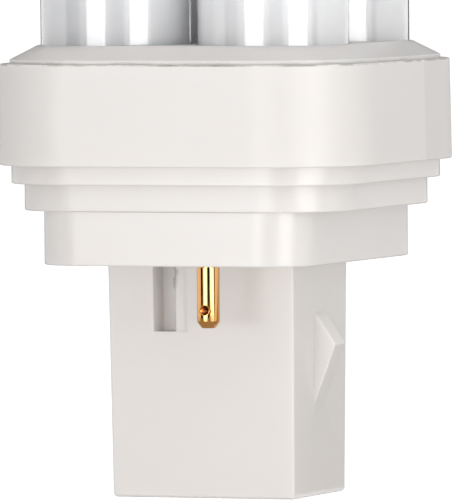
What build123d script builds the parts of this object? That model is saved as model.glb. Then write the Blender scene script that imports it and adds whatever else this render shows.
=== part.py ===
from build123d import *
import math
import os

# Two pin plug-in compact fluorescent lamp: four parallel glass limbs on a moulded base with a plug post.
# Sizes are in millimetres. +Z runs from the post's flat end up along the limbs.
# The origin is the middle of the post's flat end. The front contact pin is on the -Y side.

# Glass limbs
lamp_length = 152.0
limb_diameter = 12.7
limb_gap = 1.45
limb_depth = 6.15
limb_shoulder = 2.2
end_bridge_diameter = 7.0
end_bridge_drop = 8.5
low_bridge_diameter = 6.4
low_bridge_height = 9.5
bridge_blend = 0.6
blend_margin = 0.02
pinch_width = 7.6
pinch_thickness = 2.4
pinch_length = 2.3
pinch_lead_spacing = 4.0
exhaust_tip_diameter = 3.0
exhaust_tip_length = 2.4

# Outer form of the base shell, from the top down
limb_to_rim = 3.075
ring_corner = 8.4
ring_height = 8.5
ring_draft = 0.9
upper_step_inset = 0.88
upper_step_corner = 7.4
upper_step_height = 1.55
middle_step_inset = 1.07
middle_step_corner = 6.4
middle_step_height = 2.25
lower_step_inset = 2.45
lower_step_corner = 4.3
lower_step_height = 4.5
post_width_top = 16.7
post_width_end = 16.3
post_depth_top = 12.65
post_depth_end = 11.95
post_height = 19.8
post_edge = 0.17
post_end_edge = 0.35
shell_edge = 0.13
fine_edge = 0.12

# Keyways beside the contact pins
keyway_offset = 3.345
keyway_width = 1.87
keyway_depth = 2.3
keyway_height = 5.82
keyway_wall = 1.2
keyway_edge = 0.15
keyway_step_width = 1.15
keyway_step_depth = 0.3

# Latch ridges on the post's two side faces
latch_top = 4.33
latch_peak = 6.98
latch_foot = 11.95
latch_height = 1.85
latch_width = 2.4
latch_round = 0.35

# Inside of the base shell
wall = 1.5
floor = 1.5
pin_boss_diameter = 4.4
pin_boss_height = 1.0

# Tube holder
fit_gap = 0.1
lip_inset = 0.63
lip_corner = 8.2
lip_height = 0.33
bevel_height = 1.17
bevel_inset = 2.12
bevel_corner = 6.85
holder_plate = 3.0
skirt_depth = 4.5
skirt_wall = 1.2
cement_depth = 2.4

# Contact pins
pin_side_offset = 2.85
pin_to_step_edge = 2.893
pin_diameter = 1.9
pin_length = 5.2
pin_taper_inset = 0.33
pin_taper_length = 0.5
pin_neck_diameter = 1.4
pin_neck_height = 0.15
pin_shank_diameter = 2.5
pin_bore_diameter = 1.1
pin_flange_diameter = 3.3
pin_flange_height = 0.5
pin_tip_wall = 0.6
crimp_height = 1.5
crimp_diameter = 0.7
crimp_depth = 0.25

# Starter parts and wires inside the post
part_gap = 0.3
seat_gap = 0.2
bulb_length = 15.6
bulb_pinch_width = 4.4
bulb_pinch_thickness = 1.6
bulb_pinch_length = 2.0
bulb_lead_spacing = 2.4
capacitor_thickness = 3.0
capacitor_width = 5.6
capacitor_height = 8.0
capacitor_edge = 0.4
capacitor_lead_spacing = 3.6
lead_diameter = 0.6
lead_bend = 0.8
lead_sink = 1.2
sleeve_wall = 0.25
sleeve_gap = 0.05
splice_width = 2.6
splice_thickness = 1.5
splice_height = 3.6
splice_corner = 0.7
splice_lead_spacing = 1.1
splice_distance = 3.5
splice_dent_depth = 0.25
splice_dent_diameter = 1.2
splice_rise = 1.2
post_lead_rise = 1.2

# Heights
lower_step_low = post_height
middle_step_low = lower_step_low + lower_step_height
upper_step_low = middle_step_low + middle_step_height
ring_low = upper_step_low + upper_step_height
ring_top = ring_low + ring_height
lip_top = ring_top + lip_height
holder_top = lip_top + bevel_height
plate_low = holder_top - holder_plate
skirt_low = ring_top - skirt_depth
cement_low = plate_low - cement_depth
limb_low = holder_top - limb_depth
pinch_low = limb_low - pinch_length
post_room_low = floor
post_room_top = lower_step_low + floor
boss_top = post_room_top + pin_boss_height
flange_top = boss_top + pin_flange_height
pin_tip = lower_step_low - pin_length
pin_taper_top = pin_tip + pin_taper_length
pin_neck_low = lower_step_low - pin_neck_height

# Half sizes
limb_radius = limb_diameter / 2
limb_spacing = limb_diameter + limb_gap
limb_place = limb_spacing / 2
ring_half = limb_place + limb_radius + limb_to_rim
ring_low_half = ring_half + ring_height * math.tan(math.radians(ring_draft))
upper_half = ring_half - upper_step_inset
middle_half = upper_half - middle_step_inset
lower_half_x = middle_half - lower_step_inset
lip_half = ring_half - lip_inset
bevel_half = lip_half - bevel_inset
room_half = ring_half - wall
room_corner = ring_corner - wall
skirt_half = room_half - fit_gap
skirt_corner = room_corner - fit_gap
cement_half = skirt_half - skirt_wall
cement_corner = skirt_corner - skirt_wall
post_front = post_depth_top / 2
pin_radius = pin_diameter / 2
lead_radius = lead_diameter / 2
pin_reach = middle_half - pin_to_step_edge


def post_half_width(height):
    """Half of the post's side to side size at a height above its end."""
    return (post_width_end + (post_width_top - post_width_end) * height / post_height) / 2


def post_half_depth(height):
    """Half of the post's front to back size at a height above its end."""
    return (post_depth_end + (post_depth_top - post_depth_end) * height / post_height) / 2


def rounded_block(half_x, half_y, corner, low, high):
    """An upright block with four rounded corners."""
    return Pos(0, 0, low) * extrude(RectangleRounded(2 * half_x, 2 * half_y, corner), high - low)


def pillar(radius, low, high):
    """An upright cylinder on the Z axis."""
    return Pos(0, 0, (low + high) / 2) * Cylinder(radius, high - low)


def box_between(corner_a, corner_b):
    """A box from two opposite corners."""
    size = [abs(b - a) for a, b in zip(corner_a, corner_b)]
    middle = [(a + b) / 2 for a, b in zip(corner_a, corner_b)]
    return Pos(*middle) * Box(*size)


def turned(shape):
    """The same shape on the other side of the lamp, half a turn about its axis."""
    return Rot(0, 0, 180) * shape


def round_low_edges(shape, radius):
    """Rounds the edges around a block's lower face."""
    return fillet(shape.faces().sort_by(Axis.Z)[0].edges(), radius)


# Base shell
def drafted_post(inset, low, high):
    """The post, or its hollow at an inset from its four drafted faces."""
    outlines = []
    for height in (low, high):
        width = 2 * (post_half_width(height) - inset)
        depth = 2 * (post_half_depth(height) - inset)
        outlines.append(Pos(0, 0, height) * Rectangle(width, depth))
    return loft(outlines)


def post_block():
    post = round_low_edges(drafted_post(0, 0, post_height), post_end_edge)
    upright = [e for e in post.edges() if abs(e.tangent_at(0.5).Z) > 0.9]
    return fillet(upright, post_edge)


def ring_block():
    sketch = RectangleRounded(2 * ring_low_half, 2 * ring_low_half, ring_corner)
    ring = Pos(0, 0, ring_low) * extrude(sketch, ring_height, taper=ring_draft)
    ring = round_low_edges(ring, shell_edge)
    return fillet(ring.faces().sort_by(Axis.Z)[-1].edges(), shell_edge)


def keyway_cut():
    """The keyway on the front face, with the shallow step beside it."""
    near = -keyway_offset - keyway_width / 2
    far = -keyway_offset + keyway_width / 2
    low = lower_step_low - keyway_height
    slot = box_between((near, -post_front - wall, low), (far, keyway_depth - post_front, lower_step_low))
    step = box_between(
        (far, -post_front - wall, low),
        (far + keyway_step_width, keyway_step_depth - post_front, lower_step_low),
    )
    return slot + step


def keyway_backing():
    """The thicker wall that stands into the post behind the keyway."""
    near = -keyway_offset - keyway_width / 2 - keyway_wall
    far = -keyway_offset + keyway_width / 2 + keyway_wall
    low = lower_step_low - keyway_height - keyway_wall
    inner = keyway_depth + keyway_wall - post_front
    return box_between((near, -post_front, low), (far, inner, post_room_top))


def keyway_edges(shell):
    """The front keyway's two upright edges that a lampholder's key slides along."""
    near = -keyway_offset - keyway_width / 2
    far = -keyway_offset + keyway_width / 2
    found = []
    for edge in shell.edges():
        middle = edge.center()
        upright = abs(edge.tangent_at(0.5).Z) > 0.9
        in_slot = 0 < lower_step_low - middle.Z < keyway_height
        at_front = -post_front < middle.Y < keyway_step_depth - post_front + fine_edge
        if upright and in_slot and at_front and min(abs(middle.X - near), abs(middle.X - far)) < fine_edge:
            found.append(edge)
    return found


def latch_ridge():
    """A three-sided ridge on the post's +X face that the socket's spring snaps over."""
    top = lower_step_low - latch_top
    peak = lower_step_low - latch_peak
    foot = lower_step_low - latch_foot
    outline = Plane.XZ * Polyline(
        (post_half_width(top) - wall / 2, top),
        (post_half_width(top), top),
        (post_half_width(peak) + latch_height, peak),
        (post_half_width(foot), foot),
        (post_half_width(foot) - wall / 2, foot),
        close=True,
    )
    profile = make_face(outline)
    profile = fillet(profile.vertices().sort_by(Axis.X)[-1], latch_round)
    ridge = extrude(profile, latch_width / 2, both=True)
    outer = []
    for edge in ridge.edges():
        middle = edge.center()
        proud = middle.X > post_half_width(middle.Z) + fine_edge
        if proud and abs(middle.Y) > latch_width / 2 - fine_edge:
            outer.append(edge)
    return fillet(outer, fine_edge)


def base_shell():
    upper = rounded_block(upper_half, upper_half, upper_step_corner, upper_step_low, ring_low)
    middle = rounded_block(middle_half, middle_half, middle_step_corner, middle_step_low, upper_step_low)
    lower = rounded_block(lower_half_x, middle_half, lower_step_corner, lower_step_low, middle_step_low)
    shell = ring_block() + round_low_edges(upper, shell_edge) + round_low_edges(middle, shell_edge)
    shell = shell + round_low_edges(lower, shell_edge) + post_block()
    shell = shell + latch_ridge() + turned(latch_ridge())
    upper_room_half = upper_half - wall
    middle_room_half = middle_half - wall
    lower_room_half = lower_half_x - wall
    upper_room_corner = upper_step_corner - wall
    middle_room_corner = middle_step_corner - wall
    lower_room_corner = lower_step_corner - wall
    upper_room_low = upper_step_low + floor
    middle_room_low = middle_step_low + floor
    room = rounded_block(room_half, room_half, room_corner, ring_low + floor, ring_top + floor)
    room = room + rounded_block(
        upper_room_half, upper_room_half, upper_room_corner, upper_room_low, ring_low + floor
    )
    room = room + rounded_block(
        middle_room_half, middle_room_half, middle_room_corner, middle_room_low, upper_room_low
    )
    room = room + rounded_block(
        lower_room_half, middle_room_half, lower_room_corner, post_room_top, middle_room_low
    )
    post_room = drafted_post(wall, post_room_low, post_room_top)
    post_room = post_room - keyway_backing() - turned(keyway_backing())
    shell = shell - room - post_room
    for _ in range(2):
        shell = shell - keyway_cut()
        shell = turned(fillet(keyway_edges(shell), keyway_edge))
    for side in (-1, 1):
        place = Pos(-side * pin_side_offset, side * pin_reach, 0)
        shell = shell + place * pillar(pin_boss_diameter / 2, post_room_top, boss_top)
        shell = shell - place * pillar(pin_shank_diameter / 2, lower_step_low, boss_top)
        recess = pillar(pin_flange_diameter / 2 + fit_gap, boss_top, flange_top + part_gap)
        shell = shell - place * recess
    return shell


# Tube holder and the cement below it
def limb_centres():
    """Centres of the four limbs: front left, front right, back right and back left."""
    p = limb_place
    return [(-p, -p), (p, -p), (p, p), (-p, p)]


def limb_holes(radius, low, high):
    """Four upright cylinders on the limbs' axes."""
    pillars = [Pos(x, y, 0) * pillar(radius, low, high) for x, y in limb_centres()]
    return pillars[0] + pillars[1] + pillars[2] + pillars[3]


def tube_holder():
    lip = rounded_block(lip_half, lip_half, lip_corner, ring_top, lip_top)
    bevel_foot = Pos(0, 0, lip_top) * RectangleRounded(2 * lip_half, 2 * lip_half, lip_corner)
    bevel_head = Pos(0, 0, holder_top) * RectangleRounded(2 * bevel_half, 2 * bevel_half, bevel_corner)
    skirt = rounded_block(skirt_half, skirt_half, skirt_corner, skirt_low, ring_top)
    pocket = rounded_block(cement_half, cement_half, cement_corner, skirt_low, plate_low)
    bevel = loft([bevel_foot, bevel_head])
    holder = lip + fillet(bevel.faces().sort_by(Axis.Z)[-1].edges(), fine_edge)
    holder = holder + skirt - pocket
    return holder - limb_holes(limb_radius + fit_gap, plate_low, holder_top)


def tube_cement():
    slab = rounded_block(cement_half, cement_half, cement_corner, cement_low, plate_low)
    return slab - limb_holes(limb_radius, cement_low, plate_low)


# Discharge tube: four limbs, three bridges, two pinches with leads and two exhaust tips
def glass_limb():
    dome_base = lamp_length - limb_radius
    barrel = round_low_edges(pillar(limb_radius, limb_low, dome_base), limb_shoulder)
    return barrel + Pos(0, 0, dome_base) * Sphere(limb_radius)


def bridge(start, end, height, diameter):
    """A short neck of glass from one limb's axis to the next."""
    middle = ((start[0] + end[0]) / 2, (start[1] + end[1]) / 2)
    along_x = abs(end[0] - start[0]) > abs(end[1] - start[1])
    turn = Rot(0, 90, 0) if along_x else Rot(90, 0, 0)
    return Pos(middle[0], middle[1], height) * turn * Cylinder(diameter / 2, limb_spacing)


def discharge_tube():
    front_left, front_right, back_right, back_left = limb_centres()
    glass = glass_limb()
    tube = Pos(*front_left, 0) * glass
    for centre in (front_right, back_right, back_left):
        tube = tube + Pos(*centre, 0) * glass
    end_height = lamp_length - end_bridge_drop
    low_height = holder_top + low_bridge_height
    tube = tube + bridge(front_left, front_right, end_height, end_bridge_diameter)
    tube = tube + bridge(back_left, back_right, end_height, end_bridge_diameter)
    tube = tube + bridge(front_right, back_right, low_height, low_bridge_diameter)
    seams = [e for e in tube.edges() if e.geom_type not in (GeomType.LINE, GeomType.CIRCLE)]
    tube = fillet(seams, min(bridge_blend, limb_gap / 2 - blend_margin))
    for x, y in (front_left, back_left):
        pinch = Box(pinch_thickness, pinch_width, pinch_length + limb_shoulder)
        middle = (pinch_low + limb_low + limb_shoulder) / 2
        tube = tube + Pos(x, y, middle) * pinch
    for x, y in (front_right, back_right):
        tip = Cylinder(exhaust_tip_diameter / 2, exhaust_tip_length + limb_shoulder)
        tip = fillet(tip.edges().sort_by(Axis.Z)[0], exhaust_tip_diameter / 3)
        middle = limb_low + (limb_shoulder - exhaust_tip_length) / 2
        tube = tube + Pos(x, y, middle) * tip
    return tube


# Contact pins
def contact_pin(side):
    """A hollow pin, crimped on its lead, with a neck below its shank. side is -1 at the front."""
    taper = Cone(pin_radius - pin_taper_inset, pin_radius, pin_taper_length)
    pin = Pos(0, 0, pin_tip + pin_taper_length / 2) * taper
    pin = pin + pillar(pin_radius, pin_taper_top, pin_neck_low)
    pin = pin + pillar(pin_neck_diameter / 2, pin_neck_low, lower_step_low)
    pin = pin + pillar(pin_shank_diameter / 2, lower_step_low, boss_top)
    pin = pin + pillar(pin_flange_diameter / 2, boss_top, flange_top)
    pin = pin - pillar(pin_bore_diameter / 2, lower_step_low, flange_top)
    pin = pin - pillar(lead_radius, pin_tip + pin_tip_wall, lower_step_low)
    dent_radius = (crimp_depth**2 + (crimp_diameter / 2) ** 2) / (2 * crimp_depth)
    dent_centre = pin_radius - crimp_depth + dent_radius
    pin = pin - Pos(0, -dent_centre, pin_tip + crimp_height) * Sphere(dent_radius)
    if side > 0:
        pin = turned(pin)
    return Pos(-side * pin_side_offset, side * pin_reach, 0) * pin


# Wires
def wire(points, bends):
    """A round wire through points, with a bend of the given radius at each inner point."""
    path = FilletPolyline(*points, radius=bends)
    start = Plane(origin=path @ 0, z_dir=path % 0)
    return sweep(start * Circle(lead_radius), path=path)


def sleeve_between(start, end):
    """A straight insulating sleeve over a wire, from one point to the other."""
    run = Line(start, end)
    plane = Plane(origin=run @ 0, z_dir=run % 0)
    inner = lead_radius + sleeve_gap
    ring = Circle(inner + sleeve_wall) - Circle(inner)
    return extrude(plane * ring, run.length)


# Places of the starter parts
room_half_x = post_half_width(floor) - wall
room_half_y = post_half_depth(floor) - wall
backing_inner = post_front - keyway_depth - keyway_wall
part_x = room_half_x / 2
part_y = (room_half_y - backing_inner) / 2
bulb_radius = min(part_x, (room_half_y + backing_inner) / 2) - part_gap
bulb_low = post_room_low + seat_gap
bulb_top = bulb_low + bulb_length
capacitor_top = post_room_low + capacitor_height
cross_height = post_room_top + post_lead_rise
splice_low = cross_height + splice_rise
splice_top = splice_low + splice_height
electrode_height = splice_top + splice_rise


def starter_bulb():
    barrel_top = bulb_top - bulb_pinch_length
    barrel = Cylinder(bulb_radius, barrel_top - bulb_low - bulb_radius)
    barrel = Pos(0, 0, (barrel_top + bulb_low + bulb_radius) / 2) * barrel
    barrel = fillet(barrel.edges().sort_by(Axis.Z)[-1], bulb_radius / 2)
    bulb = barrel + Pos(0, 0, bulb_low + bulb_radius) * Sphere(bulb_radius)
    pinch = Box(bulb_pinch_thickness, bulb_pinch_width, bulb_pinch_length + bulb_radius / 2)
    bulb = bulb + Pos(0, 0, bulb_top - (bulb_pinch_length + bulb_radius / 2) / 2) * pinch
    return Pos(-part_x, part_y, 0) * bulb


def starter_capacitor():
    body = Box(capacitor_thickness, capacitor_width, capacitor_height)
    rounded = [e for e in body.edges() if e.center().Z > -capacitor_height / 2 + capacitor_edge]
    body = fillet(rounded, capacitor_edge)
    return Pos(part_x, -part_y, post_room_low + capacitor_height / 2) * body


def starter_lead(side):
    """From the bulb's pinch up to the splice. side is -1 at the front."""
    y = part_y + side * bulb_lead_spacing / 2
    end_x = -splice_lead_spacing / 2
    end_y = side * splice_distance
    points = [
        (-part_x, y, bulb_top),
        (-part_x, y, cross_height),
        (end_x, end_y, cross_height),
        (end_x, end_y, splice_low + lead_sink),
    ]
    return wire(points, [lead_bend, lead_bend])


def capacitor_lead(side):
    """From the capacitor's top up to the splice."""
    y = -part_y + side * capacitor_lead_spacing / 2
    end_x = splice_lead_spacing / 2
    end_y = side * splice_distance
    points = [
        (part_x, y, capacitor_top),
        (part_x, y, cross_height),
        (end_x, end_y, cross_height),
        (end_x, end_y, splice_low + lead_sink),
    ]
    return wire(points, [lead_bend, lead_bend])


def capacitor_sleeve(side):
    y = -part_y + side * capacitor_lead_spacing / 2
    top = cross_height - lead_bend
    return sleeve_between((part_x, y, capacitor_top), (part_x, y, top))


def electrode_lead(side):
    """From a limb's pinch to the splice above the starter parts."""
    y = side * (limb_place - pinch_lead_spacing / 2)
    points = [
        (-limb_place, y, pinch_low),
        (-limb_place, y, electrode_height),
        (0, side * splice_distance, electrode_height),
        (0, side * splice_distance, splice_top - lead_sink),
    ]
    return wire(points, [lead_bend, lead_bend])


def pin_lead_corners(side):
    """The two bends of the lead from a limb's pinch to its contact pin."""
    y = side * (limb_place + pinch_lead_spacing / 2)
    first = (-limb_place, y, electrode_height)
    second = (-side * pin_side_offset, side * pin_reach, electrode_height)
    return first, second


def pin_lead(side):
    first, second = pin_lead_corners(side)
    points = [
        (first[0], first[1], pinch_low),
        first,
        second,
        (second[0], second[1], pin_tip + pin_tip_wall),
    ]
    return wire(points, [lead_bend, lead_bend])


def pin_lead_sleeve(side):
    first, second = pin_lead_corners(side)
    run = Line(first, second)
    share = lead_bend / run.length
    return sleeve_between(run @ share, run @ (1 - share))


def splice(side):
    """A crimped ferrule that joins the electrode's lead to the bulb's and the capacitor's."""
    body = rounded_block(splice_width / 2, splice_thickness / 2, splice_corner, splice_low, splice_top)
    sink = Cylinder(lead_radius, lead_sink)
    for x in (-splice_lead_spacing / 2, splice_lead_spacing / 2):
        body = body - Pos(x, 0, splice_low + lead_sink / 2) * sink
    body = body - Pos(0, 0, splice_top - lead_sink / 2) * sink
    middle = (splice_low + splice_top) / 2
    for face in (-1, 1):
        axis_y = face * (splice_thickness / 2 + splice_dent_diameter / 2 - splice_dent_depth)
        groove = Pos(0, axis_y, middle) * Rot(0, 90, 0)
        body = body - groove * Cylinder(splice_dent_diameter / 2, splice_width)
    return Pos(0, side * splice_distance, 0) * body


parts = {
    "base_shell": base_shell(),
    "tube_holder": tube_holder(),
    "tube_cement": tube_cement(),
    "discharge_tube": discharge_tube(),
    "starter_bulb": starter_bulb(),
    "starter_capacitor": starter_capacitor(),
}
for side, name in ((-1, "front"), (1, "rear")):
    parts["contact_pin_" + name] = contact_pin(side)
    parts["pin_lead_" + name] = pin_lead(side)
    parts["pin_lead_sleeve_" + name] = pin_lead_sleeve(side)
    parts["electrode_lead_" + name] = electrode_lead(side)
    parts["splice_" + name] = splice(side)
    parts["starter_lead_" + name] = starter_lead(side)
    parts["capacitor_lead_" + name] = capacitor_lead(side)
    parts["capacitor_sleeve_" + name] = capacitor_sleeve(side)

os.makedirs("parts", exist_ok=True)
for name, shape in parts.items():
    export_step(shape, os.path.join("parts", name + ".step"))
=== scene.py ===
import math

import bmesh
import bpy
from mathutils import Matrix, Vector


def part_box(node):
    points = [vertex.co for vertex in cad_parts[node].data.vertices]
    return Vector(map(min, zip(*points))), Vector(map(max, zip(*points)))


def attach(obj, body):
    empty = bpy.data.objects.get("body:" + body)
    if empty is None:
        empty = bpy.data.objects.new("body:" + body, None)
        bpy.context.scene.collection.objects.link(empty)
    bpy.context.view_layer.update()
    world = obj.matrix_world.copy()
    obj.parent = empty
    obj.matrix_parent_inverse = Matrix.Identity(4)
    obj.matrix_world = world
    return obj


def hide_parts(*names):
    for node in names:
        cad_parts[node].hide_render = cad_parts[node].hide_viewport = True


bl_info = {
    "name": "Two pin compact fluorescent lamp",
    "version": (1, 0, 0),
    "blender": (4, 5, 0),
    "location": "3D View > Sidebar > Lamp",
    "description": "Builds the lamp's glass tube, moulded base, contact pins, starter parts and studio",
    "category": "Object",
}

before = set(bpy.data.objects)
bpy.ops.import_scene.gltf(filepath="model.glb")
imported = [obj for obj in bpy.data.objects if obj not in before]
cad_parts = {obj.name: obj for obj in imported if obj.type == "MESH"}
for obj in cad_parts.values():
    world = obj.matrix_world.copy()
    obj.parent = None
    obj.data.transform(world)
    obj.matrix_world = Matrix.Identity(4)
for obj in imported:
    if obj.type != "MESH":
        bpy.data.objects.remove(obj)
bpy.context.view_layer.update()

MM = 0.001
BODY = "root"

# Heights of the base and the pins' radius, in metres
RING_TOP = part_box("base_shell")[1].z
RING_LOW = RING_TOP - 8.5 * MM
SEATING_FACE = 19.8 * MM
PIN_RADIUS = 0.95 * MM
# An edge that turns by more than this stays sharp
SHARP_DEGREES = 28.0

# Helpers


def linear(hex_colour):
    """The linear colour with alpha of an sRGB hex string such as #E7E3DF."""
    channels = [int(hex_colour[i : i + 2], 16) / 255 for i in (1, 3, 5)]
    steps = [c / 12.92 if c <= 0.04045 else ((c + 0.055) / 1.055) ** 2.4 for c in channels]
    return (*steps, 1.0)


def add_node(tree, kind, inputs=None, **settings):
    """Adds a node with its settings. A socket given as an input is linked, other inputs are values."""
    node = tree.nodes.new(kind)
    for name, value in settings.items():
        setattr(node, name, value)
    for name, value in (inputs or {}).items():
        if isinstance(value, bpy.types.NodeSocket):
            tree.links.new(value, node.inputs[name])
        else:
            node.inputs[name].default_value = value
    return node


def new_material(name):
    """An empty material and its node tree."""
    material = bpy.data.materials.new(name)
    material.use_nodes = True
    material.node_tree.nodes.clear()
    return material, material.node_tree


def shade_of(colour, factor):
    """A linear colour at a share of its strength."""
    return (*(factor * c for c in colour[:3]), 1.0)


def mesh_object(name, mesh):
    """A new object at the origin with its place in its mesh."""
    piece = bpy.data.objects.new(name, mesh)
    bpy.context.scene.collection.objects.link(piece)
    return piece


def give_piece(piece, material, slot, *nodes):
    """Gives a finished piece its material and its body, and hides the CAD nodes that it stands for. The
    slot is not used.
    """
    piece.data.materials.clear()
    piece.data.materials.append(material)
    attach(piece, BODY)
    if nodes:
        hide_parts(*nodes)


def smooth_copy(node, name, sharp_degrees=SHARP_DEGREES):
    """A copy of a CAD node's mesh with its triangles joined and its curved faces shaded smoothly."""
    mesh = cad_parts[node].data.copy()
    mesh.name = name
    work = bmesh.new()
    work.from_mesh(mesh)
    bmesh.ops.remove_doubles(work, verts=work.verts, dist=1e-7)
    for face in work.faces:
        face.smooth = True
    for edge in work.edges:
        gentle = len(edge.link_faces) == 2 and edge.calc_face_angle() < math.radians(sharp_degrees)
        edge.smooth = gentle
    work.to_mesh(mesh)
    work.free()
    piece = mesh_object(name, mesh)
    weighted = piece.modifiers.new("even_shading", "WEIGHTED_NORMAL")
    weighted.keep_sharp = True
    weighted.weight = 100
    return plain_mesh(piece)


def plain_mesh(piece):
    """Puts a piece's modifiers into its mesh."""
    graph = bpy.context.evaluated_depsgraph_get()
    mesh = bpy.data.meshes.new_from_object(piece.evaluated_get(graph))
    piece.modifiers.clear()
    piece.data = mesh
    mesh.name = piece.name
    return piece


# Settings


class LampFinishes(bpy.types.PropertyGroup):
    """Colours of the lamp's materials, as sRGB hex."""

    plastic: bpy.props.StringProperty(
        name="Plastic", description="Off-white of the moulded base", default="#E6E2DF"
    )
    glass_coating: bpy.props.StringProperty(
        name="Glass coating", description="White powder coating inside the glass", default="#EEEFF2"
    )
    brass: bpy.props.StringProperty(
        name="Pin brass", description="Drawn brass of the contact pins", default="#DDA566"
    )
    cement: bpy.props.StringProperty(
        name="Cement", description="Set cement below the holder's plate", default="#CFC9BB"
    )
    capacitor: bpy.props.StringProperty(
        name="Capacitor", description="Dipped coating of the capacitor", default="#8A4A26"
    )
    sleeve: bpy.props.StringProperty(
        name="Sleeve", description="Woven glass fibre sleeve", default="#E3DCCB"
    )


class LampSizes(bpy.types.PropertyGroup):
    """Sizes of the pieces that this file makes."""

    pin_segments: bpy.props.IntProperty(
        name="Pin segments", description="Faces round a contact pin", default=144, min=24
    )
    crimp_width: bpy.props.FloatProperty(
        name="Crimp width",
        description="Width of the dent in a pin",
        default=0.78 * MM,
        unit="LENGTH",
    )
    crimp_depth: bpy.props.FloatProperty(
        name="Crimp depth",
        description="Depth of the dent in a pin",
        default=0.42 * MM,
        unit="LENGTH",
    )
    crimp_height: bpy.props.FloatProperty(
        name="Crimp height",
        description="Dent's middle above the pin's tip",
        default=1.5 * MM,
        unit="LENGTH",
    )
    flash_length: bpy.props.FloatProperty(
        name="Flash length",
        description="Longest speck of moulding flash",
        default=0.5 * MM,
        unit="LENGTH",
    )
    flash_thickness: bpy.props.FloatProperty(
        name="Flash thickness",
        description="Thickest speck of moulding flash",
        default=0.1 * MM,
        unit="LENGTH",
    )
    sleeve_yarns: bpy.props.IntProperty(
        name="Sleeve yarns", description="Yarns that wind each way round a sleeve", default=8, min=3
    )


class StudioSettings(bpy.types.PropertyGroup):
    """Camera and light."""

    azimuth: bpy.props.FloatProperty(
        name="Azimuth",
        description="Camera's turn about the lamp",
        default=math.radians(21.555),
        subtype="ANGLE",
    )
    elevation: bpy.props.FloatProperty(
        name="Elevation",
        description="Camera's angle above the horizon",
        default=math.radians(2.342),
        subtype="ANGLE",
    )
    roll: bpy.props.FloatProperty(
        name="Roll",
        description="Camera's roll",
        default=math.radians(0.475),
        subtype="ANGLE",
    )
    distance: bpy.props.FloatProperty(
        name="Distance",
        description="Camera to the lamp's axis",
        default=0.8989,
        unit="LENGTH",
    )
    lens: bpy.props.FloatProperty(
        name="Lens", description="Focal length in millimetres", default=767.7
    )
    ambient: bpy.props.FloatProperty(
        name="Ambient", description="Strength of the light from all round", default=0.56
    )


# Materials


def etched_plastic(finishes):
    """PBT, injection moulded in an etched mould: satin steps under a tall ring with a finer matt."""
    material, tree = new_material("moulded_pbt")
    points = add_node(tree, "ShaderNodeTexCoord").outputs["Object"]
    split = add_node(tree, "ShaderNodeSeparateXYZ", {"Vector": points})
    # Slow drift of tone through the melt, about 9 mm across
    drift = add_node(tree, "ShaderNodeTexNoise", {"Vector": points, "Scale": 110.0, "Detail": 2.0})
    # Etched grain of about 0.2 mm
    grain = add_node(tree, "ShaderNodeTexNoise", {"Vector": points, "Scale": 5000.0, "Detail": 1.0})
    base = linear(finishes.plastic)
    colour = add_node(
        tree,
        "ShaderNodeMix",
        {"Factor": drift.outputs["Fac"], "A": shade_of(base, 0.965), "B": base},
        data_type="RGBA",
    )
    # The bare rectangular field at the ring's right end is a touch darker than the rest
    field_corner = {"X": 16.3 * MM, "Y": 3.5 * MM, "Z": RING_LOW}
    inside = 1.0
    for axis, low in field_corner.items():
        test = add_node(
            tree, "ShaderNodeMath", {0: split.outputs[axis], 1: low}, operation="GREATER_THAN"
        )
        both = add_node(
            tree, "ShaderNodeMath", {0: inside, 1: test.outputs[0]}, operation="MULTIPLY"
        )
        inside = both.outputs[0]
    tone = add_node(tree, "ShaderNodeMapRange", {"Value": inside, "To Min": 1.0, "To Max": 0.93})
    toned = add_node(
        tree,
        "ShaderNodeVectorMath",
        {0: colour.outputs[2], "Scale": tone.outputs[0]},
        operation="SCALE",
    )
    # Dust caught in the joint between the ring and the collar, in patches of about 2 mm, and painted
    # shade: a dark band along the joint that deepens its shadow line
    joint = add_node(
        tree,
        "ShaderNodeMath",
        {0: split.outputs["Z"], 1: RING_TOP - 0.08 * MM, 2: 0.07 * MM},
        operation="COMPARE",
    )
    patches = add_node(
        tree, "ShaderNodeTexNoise", {"Vector": points, "Scale": 500.0, "Detail": 4.0}
    )
    spread = add_node(
        tree,
        "ShaderNodeMapRange",
        {"Value": patches.outputs["Fac"], "From Min": 0.4, "From Max": 0.62, "To Max": 0.7},
    )
    joint_dust_and_shade = add_node(
        tree, "ShaderNodeMath", {0: joint.outputs[0], 1: spread.outputs[0]}, operation="MULTIPLY"
    )
    # Mixes the joint's dust and painted shade into the plastic's colour
    dusted_and_shaded_colour = add_node(
        tree,
        "ShaderNodeMix",
        {"Factor": joint_dust_and_shade.outputs[0], "A": toned.outputs[0], "B": linear("#8E867D")},
        data_type="RGBA",
    )
    # The ring's matt finish ends at its lower edge
    rough = add_node(
        tree,
        "ShaderNodeMapRange",
        {
            "Value": split.outputs["Z"],
            "From Min": RING_LOW - 0.05 * MM,
            "From Max": RING_LOW + 0.05 * MM,
            "To Min": 0.24,
            "To Max": 0.42,
        },
    )
    bump = add_node(
        tree,
        "ShaderNodeBump",
        {"Height": grain.outputs["Fac"], "Distance": 0.004 * MM, "Strength": 0.5},
    )
    shader = add_node(
        tree,
        "ShaderNodeBsdfPrincipled",
        {
            "Base Color": dusted_and_shaded_colour.outputs[2],
            "Roughness": rough.outputs[0],
            "Normal": bump.outputs[0],
            "IOR": 1.5,
            "Subsurface Weight": 0.5,
            "Subsurface Radius": (1.0, 0.93, 0.86),
            "Subsurface Scale": 1.5 * MM,
        },
    )
    add_node(tree, "ShaderNodeOutputMaterial", {"Surface": shader.outputs[0]})
    return material


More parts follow.
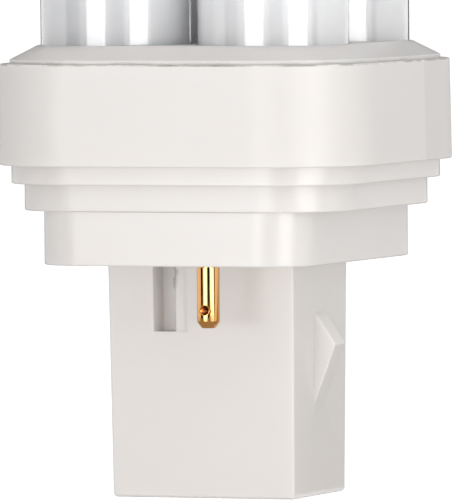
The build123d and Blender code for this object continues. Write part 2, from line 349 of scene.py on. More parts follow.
def coated_glass(finishes):
    """Soda glass with phosphor powder inside: the glass's sharp gloss over the powder's soft white."""
    material, tree = new_material("powder_coated_glass")
    points = add_node(tree, "ShaderNodeTexCoord").outputs["Object"]
    split = add_node(tree, "ShaderNodeSeparateXYZ", {"Vector": points})
    # Painted shade: the left pair of limbs is made darker, for the shade that the right pair casts on
    # it and the weaker light from the left
    tone = add_node(
        tree,
        "ShaderNodeMapRange",
        {
            "Value": split.outputs["X"],
            "From Min": -7 * MM,
            "From Max": -1 * MM,
            "To Min": 0.77,
            "To Max": 1.0,
        },
    )
    # Flow marks of the powder, about 2.5 mm wide and drawn out along the limbs
    stretched = add_node(tree, "ShaderNodeMapping", {"Vector": points, "Scale": (1.0, 1.0, 0.15)})
    flow = add_node(
        tree, "ShaderNodeTexNoise", {"Vector": stretched.outputs[0], "Scale": 400.0, "Detail": 3.0}
    )
    base = linear(finishes.glass_coating)
    colour = add_node(
        tree,
        "ShaderNodeMix",
        {"Factor": flow.outputs["Fac"], "A": shade_of(base, 0.97), "B": base},
        data_type="RGBA",
    )
    # Applies the painted shade of the left pair
    toned = add_node(
        tree,
        "ShaderNodeVectorMath",
        {0: colour.outputs[2], "Scale": tone.outputs[0]},
        operation="SCALE",
    )
    shader = add_node(
        tree,
        "ShaderNodeBsdfPrincipled",
        {
            "Base Color": toned.outputs[0],
            "Roughness": 0.14,
            "IOR": 1.52,
            "Coat Weight": 1.0,
            "Coat Roughness": 0.03,
            "Coat IOR": 1.52,
            "Subsurface Weight": 0.9,
            "Subsurface Radius": (1.0, 1.0, 1.0),
            "Subsurface Scale": 20.0 * MM,
        },
    )
    add_node(tree, "ShaderNodeOutputMaterial", {"Surface": shader.outputs[0]})
    return material


def drawn_brass(name, colour_hex, roughness):
    """Brass, drawn to a tube and tumbled bright: fine lines along the pin and a warm mirror."""
    material, tree = new_material(name)
    points = add_node(tree, "ShaderNodeTexCoord").outputs["Object"]
    stretched = add_node(tree, "ShaderNodeMapping", {"Vector": points, "Scale": (1.0, 1.0, 0.04)})
    # Drawing lines of about 0.08 mm
    lines = add_node(
        tree,
        "ShaderNodeTexNoise",
        {"Vector": stretched.outputs[0], "Scale": 12000.0, "Detail": 2.0},
    )
    rough = add_node(
        tree,
        "ShaderNodeMapRange",
        {"Value": lines.outputs["Fac"], "To Min": roughness * 0.7, "To Max": roughness * 1.3},
    )
    bump = add_node(
        tree,
        "ShaderNodeBump",
        {"Height": lines.outputs["Fac"], "Distance": 0.002 * MM, "Strength": 0.4},
    )
    # Painted shade in the crimp dent: a dark brown across the dent that stands in for the dark
    # reflection inside its cup
    dent = add_node(tree, "ShaderNodeAttribute", attribute_name="dent_depth")
    dent_painted_shade = add_node(
        tree,
        "ShaderNodeMix",
        {"Factor": dent.outputs["Fac"], "A": linear(colour_hex), "B": linear("#5A2E1E")},
        data_type="RGBA",
    )
    shader = add_node(
        tree,
        "ShaderNodeBsdfPrincipled",
        {
            "Base Color": dent_painted_shade.outputs[2],
            "Metallic": 1.0,
            "Roughness": rough.outputs[0],
            "Normal": bump.outputs[0],
        },
    )
    add_node(tree, "ShaderNodeOutputMaterial", {"Surface": shader.outputs[0]})
    return material


def set_cement(finishes):
    """Lamp cement, poured and set: chalky and matt with fine pores."""
    material, tree = new_material("set_cement")
    points = add_node(tree, "ShaderNodeTexCoord").outputs["Object"]
    # Grit and pores of about 0.4 mm
    grit = add_node(tree, "ShaderNodeTexNoise", {"Vector": points, "Scale": 2500.0, "Detail": 6.0})
    base = linear(finishes.cement)
    colour = add_node(
        tree,
        "ShaderNodeMix",
        {"Factor": grit.outputs["Fac"], "A": shade_of(base, 0.75), "B": base},
        data_type="RGBA",
    )
    bump = add_node(
        tree,
        "ShaderNodeBump",
        {"Height": grit.outputs["Fac"], "Distance": 0.05 * MM, "Strength": 0.8},
    )
    shader = add_node(
        tree,
        "ShaderNodeBsdfPrincipled",
        {"Base Color": colour.outputs[2], "Roughness": 0.85, "Normal": bump.outputs[0]},
    )
    add_node(tree, "ShaderNodeOutputMaterial", {"Surface": shader.outputs[0]})
    return material


def clear_glass():
    """Blown glass of the starter bulb, slightly grey and clear."""
    material, tree = new_material("clear_blown_glass")
    shader = add_node(
        tree,
        "ShaderNodeBsdfPrincipled",
        {"Base Color": linear("#E3E9E6"), "Roughness": 0.03, "IOR": 1.52, "Transmission Weight": 0.85},
    )
    add_node(tree, "ShaderNodeOutputMaterial", {"Surface": shader.outputs[0]})
    return material


def dipped_coating(finishes):
    """Epoxy dip of the capacitor: glossy brown with a slight orange peel."""
    material, tree = new_material("dipped_epoxy")
    points = add_node(tree, "ShaderNodeTexCoord").outputs["Object"]
    # Orange peel of about 0.6 mm
    peel = add_node(tree, "ShaderNodeTexNoise", {"Vector": points, "Scale": 1600.0, "Detail": 2.0})
    base = linear(finishes.capacitor)
    colour = add_node(
        tree,
        "ShaderNodeMix",
        {"Factor": peel.outputs["Fac"], "A": shade_of(base, 0.8), "B": base},
        data_type="RGBA",
    )
    bump = add_node(
        tree,
        "ShaderNodeBump",
        {"Height": peel.outputs["Fac"], "Distance": 0.03 * MM, "Strength": 0.5},
    )
    shader = add_node(
        tree,
        "ShaderNodeBsdfPrincipled",
        {"Base Color": colour.outputs[2], "Roughness": 0.22, "Normal": bump.outputs[0]},
    )
    add_node(tree, "ShaderNodeOutputMaterial", {"Surface": shader.outputs[0]})
    return material


def woven_sleeve(finishes):
    """Glass fibre yarn, braided and varnished: a fine diagonal weave with a dull sheen."""
    material, tree = new_material("braided_glass_fibre")
    points = add_node(tree, "ShaderNodeTexCoord").outputs["Object"]
    # Two sets of yarns of about 0.25 mm that cross
    yarn_angle = 0.9
    waves = []
    for turn in (yarn_angle, -yarn_angle):
        turned = add_node(
            tree, "ShaderNodeMapping", {"Vector": points, "Rotation": (turn, turn, 0.0)}
        )
        values = {"Vector": turned.outputs[0], "Scale": 640.0, "Distortion": 0.4}
        waves.append(add_node(tree, "ShaderNodeTexWave", values))
    weave = add_node(
        tree,
        "ShaderNodeMath",
        {0: waves[0].outputs["Fac"], 1: waves[1].outputs["Fac"]},
        operation="MAXIMUM",
    )
    base = linear(finishes.sleeve)
    colour = add_node(
        tree,
        "ShaderNodeMix",
        {"Factor": weave.outputs[0], "A": shade_of(base, 0.6), "B": base},
        data_type="RGBA",
    )
    bump = add_node(
        tree, "ShaderNodeBump", {"Height": weave.outputs[0], "Distance": 0.06 * MM, "Strength": 0.9}
    )
    shader = add_node(
        tree,
        "ShaderNodeBsdfPrincipled",
        {
            "Base Color": colour.outputs[2],
            "Roughness": 0.6,
            "Sheen Weight": 0.3,
            "Normal": bump.outputs[0],
        },
    )
    add_node(tree, "ShaderNodeOutputMaterial", {"Surface": shader.outputs[0]})
    return material


def plated_wire():
    """Nickel plated steel wire, drawn: pale grey metal with faint lines."""
    material, tree = new_material("nickel_plated_wire")
    points = add_node(tree, "ShaderNodeTexCoord").outputs["Object"]
    # Faint marks of about 0.25 mm, as coarse as they need to show
    lines = add_node(tree, "ShaderNodeTexNoise", {"Vector": points, "Scale": 4000.0, "Detail": 2.0})
    rough = add_node(
        tree, "ShaderNodeMapRange", {"Value": lines.outputs["Fac"], "To Min": 0.2, "To Max": 0.4}
    )
    shader = add_node(
        tree,
        "ShaderNodeBsdfPrincipled",
        {"Base Color": linear("#C9C6BF"), "Metallic": 1.0, "Roughness": rough.outputs[0]},
    )
    add_node(tree, "ShaderNodeOutputMaterial", {"Surface": shader.outputs[0]})
    return material


# Contact pins


def pin_profile(low, high):
    """Radius and height pairs of a hollow pin's section, from the tip's middle to the bore's."""
    taper_inset = 0.35 * MM
    taper_length = 0.56 * MM
    taper_bulge = 0.04 * MM
    taper_rows = 8
    tip_round = 0.06 * MM
    neck = 0.7 * MM
    neck_low = SEATING_FACE - 0.15 * MM
    shank = 1.25 * MM
    flange = 1.65 * MM
    flange_low = high - 0.5 * MM
    bore = 0.55 * MM
    grip = 0.3 * MM
    grip_low = low + 0.6 * MM
    taper_top = low + taper_length
    barrel_rows = 110
    points = [
        (0.0, low),
        (PIN_RADIUS - taper_inset - tip_round, low),
        (PIN_RADIUS - taper_inset, low + tip_round / 2),
    ]
    # The drawn tube's end is turned in over a slightly rounded taper
    for i in range(1, taper_rows):
        share = i / taper_rows
        bulge = taper_bulge * math.sin(math.pi * share)
        rise = (taper_length - tip_round) * share
        points.append((PIN_RADIUS - taper_inset * (1 - share) + bulge, low + tip_round + rise))
    # The barrel's rows are close enough for the round edge of the dent
    for i in range(barrel_rows + 1):
        points.append((PIN_RADIUS, taper_top + (neck_low - taper_top) * i / barrel_rows))
    points += [
        (neck, neck_low),
        (neck, SEATING_FACE),
        (shank, SEATING_FACE),
        (shank, flange_low),
        (flange, flange_low),
        (flange, high),
        (bore, high),
        (bore, SEATING_FACE),
        (grip, SEATING_FACE),
        (grip, grip_low),
        (0.0, grip_low),
    ]
    return points


def lathe(name, profile, centre, segments):
    """A closed turned shape about an upright axis."""
    work = bmesh.new()
    rings = []
    for radius, height in profile:
        if radius == 0.0:
            rings.append([work.verts.new((centre[0], centre[1], height))])
            continue
        ring = []
        for i in range(segments):
            angle = 2 * math.pi * i / segments
            x = centre[0] + radius * math.cos(angle)
            y = centre[1] + radius * math.sin(angle)
            ring.append(work.verts.new((x, y, height)))
        rings.append(ring)
    for lower, upper in zip(rings, rings[1:]):
        for i in range(segments):
            j = (i + 1) % segments
            places = ((lower, i), (lower, j), (upper, j), (upper, i))
            corners = [row[k % len(row)] for row, k in places]
            work.faces.new(list(dict.fromkeys(corners)))
    bmesh.ops.recalc_face_normals(work, faces=work.faces)
    for face in work.faces:
        face.smooth = True
    for edge in work.edges:
        edge.smooth = edge.calc_face_angle() < math.radians(SHARP_DEGREES)
    mesh = bpy.data.meshes.new(name)
    work.to_mesh(mesh)
    work.free()
    return mesh


def press_dent(mesh, centre, facing, height, width, depth):
    """Presses a round crimp dent into a pin, and draws in the metal below it."""
    # How far the metal is drawn in, and out to how many times the dent's own reach
    drawn_in = 0.012 * MM
    drawn_reach = 1.8
    # Only the barrel's wall is pressed
    least_radius = 0.98 * PIN_RADIUS
    # Each point's share of the dent, which the brass material reads to paint shade into the dent
    depths = mesh.attributes.new("dent_depth", "FLOAT", "POINT")
    for vertex in mesh.vertices:
        away = Vector((vertex.co.x - centre[0], vertex.co.y - centre[1]))
        if away.length < least_radius or vertex.co.z > SEATING_FACE - width / 2:
            continue
        turn = math.atan2(away.y, away.x) - math.atan2(facing[1], facing[0])
        turn = (turn + math.pi) % (2 * math.pi) - math.pi
        reach = math.hypot(turn * PIN_RADIUS, vertex.co.z - height) / (width / 2)
        press = 0.0
        if reach < 1.0:
            cup = 1 - reach**4
            press += depth * cup
            depths.data[vertex.index].value = cup
        below = min(max((height - vertex.co.z) / (width / 2), 0.0), 1.0)
        if reach < drawn_reach:
            press += below * drawn_in * (1 - (reach / drawn_reach) ** 2) ** 2
        inward = away.normalized() * press
        vertex.co.x -= inward.x
        vertex.co.y -= inward.y


# Rule-based pieces


def new_geometry_tree(name, sockets):
    """A geometry node tree with named inputs, and the sockets that give their values."""
    tree = bpy.data.node_groups.new(name, "GeometryNodeTree")
    for socket, kind in sockets.items():
        tree.interface.new_socket(name=socket, in_out="INPUT", socket_type="NodeSocket" + kind)
    tree.interface.new_socket(name="Geometry", in_out="OUTPUT", socket_type="NodeSocketGeometry")
    return tree, add_node(tree, "NodeGroupInput").outputs


def finish_geometry(tree, geometry, material):
    """Makes the instances real, shades them smoothly and gives them their material."""
    real = add_node(tree, "GeometryNodeRealizeInstances", {"Geometry": geometry})
    smooth = add_node(tree, "GeometryNodeSetShadeSmooth", {"Geometry": real.outputs[0]})
    dressed = add_node(
        tree, "GeometryNodeSetMaterial", {"Geometry": smooth.outputs[0], "Material": material}
    )
    add_node(tree, "NodeGroupOutput", {"Geometry": dressed.outputs[0]})


def grown_piece(name, mesh, tree, values):
    """A piece that a geometry node tree grows from a mesh, with the tree's inputs set by name."""
    piece = mesh_object(name, mesh)
    modifier = piece.modifiers.new(tree.name, "NODES")
    modifier.node_group = tree
    for item in tree.interface.items_tree:
        if item.in_out == "INPUT" and item.name in values:
            modifier[item.identifier] = values[item.name]
    return plain_mesh(piece)


def flash_tree():
    """Specks and curls of plastic that the mould's joint leaves along a path."""
    tree, inputs = new_geometry_tree(
        "moulding_flash",
        {
            "Path": "Geometry",
            "Spacing": "Float",
            "Length": "Float",
            "Thickness": "Float",
            "Spread": "Float",
            "Bare share": "Float",
            "Seed": "Int",
            "Material": "Material",
        },
    )
    path = add_node(tree, "GeometryNodeMeshToCurve", {"Mesh": inputs["Path"]})
    even = add_node(
        tree,
        "GeometryNodeResampleCurve",
        {"Curve": path.outputs[0], "Length": inputs["Spacing"]},
        mode="LENGTH",
    )
    # Specks come in clusters of a few millimetres with bare stretches between them
    seed_step = 17.3
    place = add_node(tree, "GeometryNodeInputPosition")
    seed = add_node(tree, "ShaderNodeMath", {0: inputs["Seed"], 1: seed_step}, operation="MULTIPLY")
    cluster = add_node(
        tree,
        "ShaderNodeTexNoise",
        {"Vector": place.outputs[0], "W": seed.outputs[0], "Scale": 420.0, "Detail": 2.0},
        noise_dimensions="4D",
    )
    chosen = add_node(
        tree,
        "ShaderNodeMath",
        {0: cluster.outputs["Fac"], 1: inputs["Bare share"]},
        operation="GREATER_THAN",
    )
    # A random value's lowest, highest and seed are its inputs 2, 3 and 8
    low = add_node(tree, "ShaderNodeMath", {0: inputs["Spread"], 1: -1.0}, operation="MULTIPLY")
    rise = add_node(
        tree, "FunctionNodeRandomValue", {2: low.outputs[0], 3: inputs["Spread"], 8: inputs["Seed"]}
    )
    shift = add_node(tree, "ShaderNodeCombineXYZ", {"Z": rise.outputs[1]})
    moved = add_node(
        tree, "GeometryNodeSetPosition", {"Geometry": even.outputs[0], "Offset": shift.outputs[0]}
    )
    sizes = []
    for size, smallest, offset in (("Length", 0.25, 1), ("Thickness", 0.5, 2), ("Thickness", 0.4, 3)):
        small = add_node(
            tree, "ShaderNodeMath", {0: inputs[size], 1: smallest}, operation="MULTIPLY"
        )
        number = add_node(tree, "ShaderNodeMath", {0: inputs["Seed"], 1: offset})
        pick = add_node(
            tree,
            "FunctionNodeRandomValue",
            {2: small.outputs[0], 3: inputs[size], 8: number.outputs[0]},
        )
        sizes.append(pick.outputs[1])
    scale = add_node(tree, "ShaderNodeCombineXYZ", {"X": sizes[0], "Y": sizes[1], "Z": sizes[2]})
    along = add_node(tree, "GeometryNodeInputTangent")
    turn = add_node(
        tree, "FunctionNodeAlignRotationToVector", {"Vector": along.outputs[0]}, axis="X"
    )
    speck = add_node(tree, "GeometryNodeMeshIcoSphere", {"Radius": 0.5, "Subdivisions": 2})
    specks = add_node(
        tree,
        "GeometryNodeInstanceOnPoints",
        {
            "Points": moved.outputs[0],
            "Selection": chosen.outputs[0],
            "Instance": speck.outputs[0],
            "Rotation": turn.outputs[0],
            "Scale": scale.outputs[0],
        },
    )
    finish_geometry(tree, specks.outputs[0], inputs["Material"])
    return tree


def path_mesh(name, points, closed):
    """A mesh of edges that runs through points."""
    count = len(points)
    edges = [(i, (i + 1) % count) for i in range(count if closed else count - 1)]
    mesh = bpy.data.meshes.new(name)
    mesh.from_pydata(points, edges, [])
    return mesh


def rounded_square(half, corner, height, steps=12):
    """Points round a square with rounded corners at a height."""
    points = []
    for quarter in range(4):
        middle = math.radians(45 + 90 * quarter)
        centre_x = math.copysign(half - corner, math.cos(middle))
        centre_y = math.copysign(half - corner, math.sin(middle))
        for i in range(steps + 1):
            angle = math.radians(90 * quarter + 90 * i / steps)
            x = centre_x + corner * math.cos(angle)
            y = centre_y + corner * math.sin(angle)
            points.append((x, y, height))
    return points


def sleeve_tree():
    """A braided sleeve: a thin wall with yarns wound round it both ways."""
    tree, inputs = new_geometry_tree(
        "braided_sleeve",
        {
            "Length": "Float",
            "Inner radius": "Float",
            "Outer radius": "Float",
            "Yarn thickness": "Float",
            "Yarns": "Int",
            "Turns": "Float",
            "Material": "Material",
        },
    )
    joined = add_node(tree, "GeometryNodeJoinGeometry")
    # Wall: a rectangle swept round the axis, inside the yarns
    wall_out = add_node(
        tree,
        "ShaderNodeMath",
        {0: inputs["Outer radius"], 1: inputs["Yarn thickness"]},
        operation="SUBTRACT",
    )
    wall = add_node(
        tree,
        "ShaderNodeMath",
        {0: wall_out.outputs[0], 1: inputs["Inner radius"]},
        operation="SUBTRACT",
    )
    total = add_node(tree, "ShaderNodeMath", {0: wall_out.outputs[0], 1: inputs["Inner radius"]})
    middle = add_node(tree, "ShaderNodeMath", {0: total.outputs[0], 1: 0.5}, operation="MULTIPLY")
    ring = add_node(
        tree, "GeometryNodeCurvePrimitiveCircle", {"Resolution": 32, "Radius": middle.outputs[0]}
    )
    section = add_node(
        tree, "GeometryNodeCurvePrimitiveQuadrilateral", {0: wall.outputs[0], 1: inputs["Length"]}
    )
    tube = add_node(
        tree,
        "GeometryNodeCurveToMesh",
        {"Curve": ring.outputs[0], "Profile Curve": section.outputs[0]},
    )
    half = add_node(tree, "ShaderNodeMath", {0: inputs["Length"], 1: 0.5}, operation="MULTIPLY")
    lift = add_node(tree, "ShaderNodeCombineXYZ", {"Z": half.outputs[0]})
    raised = add_node(
        tree, "GeometryNodeTransform", {"Geometry": tube.outputs[0], "Translation": lift.outputs[0]}
    )
    tree.links.new(raised.outputs[0], joined.inputs["Geometry"])
    # Yarns: one helix for each way, turned about the axis
    yarn_radius = add_node(
        tree, "ShaderNodeMath", {0: inputs["Yarn thickness"], 1: 0.5}, operation="MULTIPLY"
    )
    centre_line = add_node(
        tree,
        "ShaderNodeMath",
        {0: inputs["Outer radius"], 1: yarn_radius.outputs[0]},
        operation="SUBTRACT",
    )
    yarn_section = add_node(
        tree,
        "GeometryNodeCurvePrimitiveCircle",
        {"Resolution": 6, "Radius": yarn_radius.outputs[0]},
    )
    starts = add_node(tree, "GeometryNodePoints", {"Count": inputs["Yarns"]})
    number = add_node(tree, "GeometryNodeInputIndex")
    share = add_node(
        tree, "ShaderNodeMath", {0: number.outputs[0], 1: inputs["Yarns"]}, operation="DIVIDE"
    )
    angle = add_node(
        tree, "ShaderNodeMath", {0: share.outputs[0], 1: 2 * math.pi}, operation="MULTIPLY"
    )
    spin = add_node(tree, "ShaderNodeCombineXYZ", {"Z": angle.outputs[0]})
    for backwards in (False, True):
        helix = add_node(
            tree,
            "GeometryNodeCurveSpiral",
            {
                "Resolution": 16,
                "Rotations": inputs["Turns"],
                "Start Radius": centre_line.outputs[0],
                "End Radius": centre_line.outputs[0],
                "Height": inputs["Length"],
                "Reverse": backwards,
            },
        )
        yarn = add_node(
            tree,
            "GeometryNodeCurveToMesh",
            {"Curve": helix.outputs[0], "Profile Curve": yarn_section.outputs[0], "Fill Caps": True},
        )
        yarns = add_node(
            tree,
            "GeometryNodeInstanceOnPoints",
            {"Points": starts.outputs[0], "Instance": yarn.outputs[0], "Rotation": spin.outputs[0]},
        )
        tree.links.new(yarns.outputs[0], joined.inputs["Geometry"])
    finish_geometry(tree, joined.outputs[0], inputs["Material"])
    return tree


def tube_ends(node):
    """The middles of a straight CAD tube's two ends."""
    points = {tuple(round(c, 7) for c in v.co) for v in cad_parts[node].data.vertices}
    points = [Vector(p) for p in points]
    middle = sum(points, Vector()) / len(points)
    axis = max((p - middle for p in points), key=lambda reach: reach.length)
    ends = []
    for way in (-1, 1):
        ring = [p for p in points if way * (p - middle).dot(axis) > 0]
        ends.append(sum(ring, Vector()) / len(ring))
    return ends


# Operators


class LAMP_OT_moulded_base(bpy.types.Operator):
    """Makes the base shell and the tube holder"""

    bl_idname = "lamp.moulded_base"
    bl_label = "Moulded base"

    def execute(self, context):
        sizes = context.scene.lamp_sizes
        plastic = etched_plastic(context.scene.lamp_finishes)
        for node in ("base_shell", "tube_holder"):
            give_piece(smooth_copy(node, "moulded_" + node), plastic, "base_plastic", node)
        tree = flash_tree()
        # Half width, corner radius and height of the paths along the collar's foot and the ring's rim
        collar = rounded_square(15.88 * MM, 8.21 * MM, RING_TOP + 0.1 * MM)
        rim = rounded_square(16.45 * MM, 8.35 * MM, RING_TOP - 0.06 * MM)
        # The curl of flash on the front keyway's right edge, as X and Z in millimetres
        curl = (
            (-2.47, 19.75),
            (-2.4, 19.4),
            (-2.22, 19.05),
            (-2.24, 18.7),
            (-2.36, 18.4),
            (-2.36, 17.7),
        )
        keyway_front = -6.3 * MM
        keyway = [(x * MM, keyway_front, z * MM) for x, z in curl]
        # Name, path, closed or not, spacing, shares of the longest and the thickest speck,
        # spread up and down, bare share and seed
        runs = (
            ("flash_collar", collar, True, 0.42 * MM, 1.0, 1.0, 0.07 * MM, 0.5, 3),
            ("flash_rim", rim, True, 0.5 * MM, 1.0, 1.0, 0.03 * MM, 0.56, 8),
            ("flash_keyway", keyway, False, 0.06 * MM, 0.6, 2.4, 0.02 * MM, 0.0, 5),
        )
        for name, points, closed, spacing, long_share, thick_share, spread, bare, seed in runs:
            values = {
                "Spacing": spacing,
                "Length": sizes.flash_length * long_share,
                "Thickness": sizes.flash_thickness * thick_share,
                "Spread": spread,
                "Bare share": bare,
                "Seed": seed,
                "Material": plastic,
            }
            piece = grown_piece(name, path_mesh(name, points, closed), tree, values)
            give_piece(piece, plastic, "base_plastic")
        return {"FINISHED"}


class LAMP_OT_discharge_tube(bpy.types.Operator):
    """Makes the sealed glass tube"""

    bl_idname = "lamp.discharge_tube"
    bl_label = "Discharge tube"

    def execute(self, context):
        tube = smooth_copy("discharge_tube", "coated_discharge_tube", sharp_degrees=40.0)
        give_piece(tube, coated_glass(context.scene.lamp_finishes), "coated_glass", "discharge_tube")
        return {"FINISHED"}


class LAMP_OT_contact_pins(bpy.types.Operator):
    """Makes both contact pins with their crimp dents"""

    bl_idname = "lamp.contact_pins"
    bl_label = "Contact pins"

    def execute(self, context):
        sizes = context.scene.lamp_sizes
        brass = drawn_brass("drawn_brass", context.scene.lamp_finishes.brass, roughness=0.045)
        for side, place in ((-1, "front"), (1, "rear")):
            node = "contact_pin_" + place
            low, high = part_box(node)
            centre = ((low.x + high.x) / 2, (low.y + high.y) / 2)
            profile = pin_profile(low.z, high.z)
            mesh = lathe("crimped_pin_" + place, profile, centre, sizes.pin_segments)
            dent = low.z + sizes.crimp_height
            press_dent(mesh, centre, (0.0, side), dent, sizes.crimp_width, sizes.crimp_depth)
            give_piece(mesh_object(mesh.name, mesh), brass, "pin_brass", node)
        return {"FINISHED"}


class LAMP_OT_starter_parts(bpy.types.Operator):
    """Makes the cement, starter bulb, capacitor, wires, sleeves and splices inside the base"""

    bl_idname = "lamp.starter_parts"
    bl_label = "Starter parts"

    def execute(self, context):
        finishes = context.scene.lamp_finishes
        wire = plated_wire()
        splice = drawn_brass("crimped_brass", "#D2B274", roughness=0.3)
        singles = {
            "tube_cement": ("poured_cement", set_cement(finishes), "cement"),
            "starter_bulb": ("glow_switch_bulb", clear_glass(), "clear_glass"),
            "starter_capacitor": ("dipped_capacitor", dipped_coating(finishes), "capacitor_case"),
        }
        pairs = {
            "pin_lead": (wire, "lead_wire"),
            "electrode_lead": (wire, "lead_wire"),
            "splice": (splice, "splice_brass"),
            "starter_lead": (wire, "lead_wire"),
            "capacitor_lead": (wire, "lead_wire"),
        }
        for node, (name, material, slot) in singles.items():
            give_piece(smooth_copy(node, name), material, slot, node)
        for stem, (material, slot) in pairs.items():
            for place in ("front", "rear"):
                node = stem + "_" + place
                give_piece(smooth_copy(node, "smooth_" + node), material, slot, node)
        self.make_sleeves(context.scene.lamp_sizes, woven_sleeve(finishes))
        return {"FINISHED"}

    def make_sleeves(self, sizes, yarn):
        tree = sleeve_tree()
        turn_length = 3.2 * MM
        for stem in ("pin_lead_sleeve", "capacitor_sleeve"):
            for place in ("front", "rear"):
                node = stem + "_" + place
                start, end = tube_ends(node)
                length = (end - start).length
                values = {
                    "Length": length,
                    "Inner radius": 0.35 * MM,
                    "Outer radius": 0.6 * MM,
                    "Yarn thickness": 0.12 * MM,
                    "Yarns": sizes.sleeve_yarns,
                    "Turns": length / turn_length,
                    "Material": yarn,
                }
                name = "braided_" + node
                piece = grown_piece(name, bpy.data.meshes.new(name), tree, values)
                turn = (end - start).to_track_quat("Z", "Y").to_matrix().to_4x4()
                piece.data.transform(Matrix.Translation(start) @ turn)
                give_piece(piece, yarn, "lead_sleeve", node)


# Studio

# Lights: name, turn from the camera and width in degrees, distance in metres, low and high edge in
# millimetres, radiance over the white surroundings' own 1, and what it shows on: gloss, matt or both
LIGHTS = (
    ("window_left", -30.0, 28.0, 0.32, 0.6, 120.0, 4.6, "gloss"),
    ("window_right", 35.0, 28.0, 0.32, 1.3, 120.0, 4.6, "gloss"),
    ("soft_right", 33.0, 60.0, 0.33, 1.0, 320.0, 0.4, "both"),
    ("strip_front", 5.0, 100.0, 0.25, 1.0, 30.0, 7.6, "matt"),
    ("high_front", 0.0, 60.0, 0.3, 250.0, 450.0, 0.9, "matt"),
)
# Black cards: name, turn from the camera and width in degrees
CARDS = (
    ("card_left", -67.5, 24.0),
    ("card_middle", 2.5, 20.0),
    ("card_right", 62.0, 9.0),
    ("card_behind", 180.0, 42.0),
)
# Their distance from the lamp and their height, in metres
CARD_DISTANCE = 0.34
CARD_HEIGHT = 0.25
# The grey card lies just above the floor, this far to each side
GREY_CARD_REACH = 0.3
GREY_CARD_HEIGHT = 0.4 * MM
FLOOR_REACH = 20.0


def studio_direction(studio, turn_degrees):
    """A level direction from the lamp, turned from the camera's by so many degrees to its right."""
    angle = studio.azimuth + math.radians(turn_degrees)
    return Vector((math.sin(angle), -math.cos(angle), 0.0))


def standing_light(studio, name, turn, spread, near, low, high, radiance):
    """An upright area light that faces the lamp. turn and spread are in degrees."""
    away = studio_direction(studio, turn)
    width = 2 * near * math.tan(math.radians(spread / 2))
    height = high - low
    data = bpy.data.lights.new(name, "AREA")
    data.shape = "RECTANGLE"
    data.size = width
    data.size_y = height
    data.energy = radiance * math.pi * width * height
    light = bpy.data.objects.new(name, data)
    light.location = away * near + Vector((0.0, 0.0, (low + high) / 2))
    light.rotation_mode = "QUATERNION"
    light.rotation_quaternion = away.to_track_quat("Z", "Y")
    light.visible_camera = False
    bpy.context.scene.collection.objects.link(light)
    return light


def level_square(reach, height):
    """Corners of a level square about the lamp's axis."""
    return [Vector((x * reach, y * reach, height)) for x, y in ((-1, -1), (1, -1), (1, 1), (-1, 1))]


def dyed_cloth(name, colour_hex):
    """Cloth of a studio card, dyed and quite matt."""
    material, tree = new_material(name)
    shader = add_node(tree, "ShaderNodeBsdfDiffuse", {"Color": linear(colour_hex)})
    add_node(tree, "ShaderNodeOutputMaterial", {"Surface": shader.outputs[0]})
    return material


def gloss_card(name, corners, material):
    """A card that only gloss shows, for the dark parts of the studio round the lamp."""
    mesh = bpy.data.meshes.new(name)
    mesh.from_pydata(corners, [], [(0, 1, 2, 3)])
    mesh.materials.append(material)
    card = mesh_object(name, mesh)
    card.visible_camera = False
    card.visible_diffuse = False
    card.visible_shadow = False
    card.visible_transmission = False


def seen_by_eye(tree):
    """1 for camera, glossy and transmission rays, and 0 for the rest."""
    rays = add_node(tree, "ShaderNodeLightPath")
    first = add_node(
        tree,
        "ShaderNodeMath",
        {0: rays.outputs["Is Camera Ray"], 1: rays.outputs["Is Glossy Ray"]},
        operation="MAXIMUM",
    )
    second = add_node(
        tree,
        "ShaderNodeMath",
        {0: first.outputs[0], 1: rays.outputs["Is Transmission Ray"]},
        operation="MAXIMUM",
    )
    return second.outputs[0]


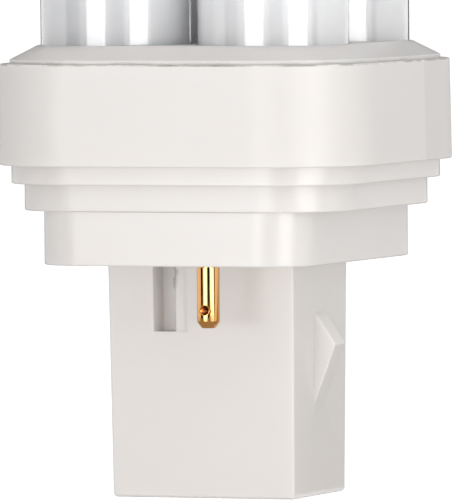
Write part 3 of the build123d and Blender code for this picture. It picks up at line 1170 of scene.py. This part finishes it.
class LAMP_OT_studio(bpy.types.Operator):
    """Makes the floor, the lights, the white surroundings and the camera"""

    bl_idname = "lamp.studio"
    bl_label = "Studio"

    def execute(self, context):
        studio = context.scene.lamp_studio
        self.make_floor()
        self.make_world(studio)
        self.make_lights(studio)
        self.make_cards(studio)
        self.make_camera(context, studio)
        context.scene.view_settings.view_transform = "Standard"
        return {"FINISHED"}

    def make_floor(self):
        mesh = bpy.data.meshes.new("floor")
        mesh.from_pydata(level_square(FLOOR_REACH, 0.0), [], [(0, 1, 2, 3)])
        # Matt white paint that the eye sees as white up to the horizon, with the lamp's shadow on it
        material, tree = new_material("white_table")
        glow_share = 0.62
        paint = add_node(tree, "ShaderNodeBsdfDiffuse", {"Color": linear("#F3F3F3")})
        lift = add_node(
            tree, "ShaderNodeMath", {0: seen_by_eye(tree), 1: glow_share}, operation="MULTIPLY"
        )
        glow = add_node(tree, "ShaderNodeEmission", {"Strength": lift.outputs[0]})
        both = add_node(tree, "ShaderNodeAddShader", {0: paint.outputs[0], 1: glow.outputs[0]})
        add_node(tree, "ShaderNodeOutputMaterial", {"Surface": both.outputs[0]})
        mesh.materials.append(material)
        mesh_object("floor", mesh)

    def make_world(self, studio):
        world = bpy.data.worlds.new("white_room")
        world.use_nodes = True
        tree = world.node_tree
        tree.nodes.clear()
        white = linear("#FFFFFF")
        lit = add_node(tree, "ShaderNodeBackground", {"Color": white, "Strength": studio.ambient})
        seen = add_node(tree, "ShaderNodeBackground", {"Color": white, "Strength": 1.0})
        mix = add_node(
            tree,
            "ShaderNodeMixShader",
            {0: seen_by_eye(tree), 1: lit.outputs[0], 2: seen.outputs[0]},
        )
        add_node(tree, "ShaderNodeOutputWorld", {"Surface": mix.outputs[0]})
        bpy.context.scene.world = world

    def make_lights(self, studio):
        for name, turn, spread, near, low, high, radiance, kind in LIGHTS:
            light = standing_light(studio, name, turn, spread, near, low * MM, high * MM, radiance)
            light.visible_diffuse = kind != "gloss"
            light.visible_glossy = kind != "matt"

    def make_cards(self, studio):
        black = dyed_cloth("black_cloth", "#191919")
        for name, turn, spread in CARDS:
            away = studio_direction(studio, turn)
            half_width = CARD_DISTANCE * math.tan(math.radians(spread / 2))
            along = Vector((-away.y, away.x, 0.0)) * half_width
            low = away * CARD_DISTANCE
            high = low + Vector((0.0, 0.0, CARD_HEIGHT))
            gloss_card(name, [low - along, low + along, high + along, high - along], black)
        grey = dyed_cloth("grey_cloth", "#D7D0C5")
        gloss_card("card_under", level_square(GREY_CARD_REACH, GREY_CARD_HEIGHT), grey)

    def make_camera(self, context, studio):
        azimuth, elevation, roll = studio.azimuth, studio.elevation, studio.roll
        level = math.cos(elevation)
        back = Vector((math.sin(azimuth) * level, -math.cos(azimuth) * level, math.sin(elevation)))
        right = Vector((math.cos(azimuth), math.sin(azimuth), 0.0))
        up = back.cross(right)
        # The camera aims at this height, a hair to the left of the lamp's axis
        aim_height = 20.6 * MM
        aim_left = 0.05 * MM
        aim = Vector((0.0, 0.0, aim_height)) - right * aim_left
        rolled_right = right * math.cos(roll) - up * math.sin(roll)
        rolled_up = up * math.cos(roll) + right * math.sin(roll)
        data = bpy.data.cameras.new("camera")
        data.lens = studio.lens
        data.sensor_width = 36.0
        data.clip_start = 0.05
        data.clip_end = 60.0
        camera = bpy.data.objects.new("camera", data)
        turn = Matrix((rolled_right, rolled_up, back)).transposed().to_4x4()
        camera.matrix_world = Matrix.Translation(aim + back * studio.distance) @ turn
        context.scene.collection.objects.link(camera)
        context.scene.camera = camera


class LAMP_PT_panel(bpy.types.Panel):
    """Lists the lamp's settings and the steps that build it"""

    bl_idname = "LAMP_PT_panel"
    bl_label = "Compact fluorescent lamp"
    bl_space_type = "VIEW_3D"
    bl_region_type = "UI"
    bl_category = "Lamp"

    def draw(self, context):
        layout = self.layout
        for group in (context.scene.lamp_sizes, context.scene.lamp_finishes, context.scene.lamp_studio):
            box = layout.box()
            for name in group.bl_rna.properties.keys():
                if name not in ("rna_type", "name"):
                    box.prop(group, name)
        for operator in OPERATORS:
            layout.operator(operator.bl_idname)


OPERATORS = (
    LAMP_OT_moulded_base,
    LAMP_OT_discharge_tube,
    LAMP_OT_contact_pins,
    LAMP_OT_starter_parts,
    LAMP_OT_studio,
)
GROUPS = {"lamp_finishes": LampFinishes, "lamp_sizes": LampSizes, "lamp_studio": StudioSettings}


def register():
    for group in GROUPS.values():
        bpy.utils.register_class(group)
    for name, group in GROUPS.items():
        setattr(bpy.types.Scene, name, bpy.props.PointerProperty(type=group))
    for operator in OPERATORS:
        bpy.utils.register_class(operator)
    bpy.utils.register_class(LAMP_PT_panel)


def unregister():
    bpy.utils.unregister_class(LAMP_PT_panel)
    for operator in reversed(OPERATORS):
        bpy.utils.unregister_class(operator)
    for name, group in GROUPS.items():
        delattr(bpy.types.Scene, name)
        bpy.utils.unregister_class(group)


def main():
    """Builds the lamp and its studio."""
    register()
    bpy.ops.lamp.moulded_base()
    bpy.ops.lamp.discharge_tube()
    bpy.ops.lamp.contact_pins()
    bpy.ops.lamp.starter_parts()
    bpy.ops.lamp.studio()


if __name__ == "__main__":
    main()
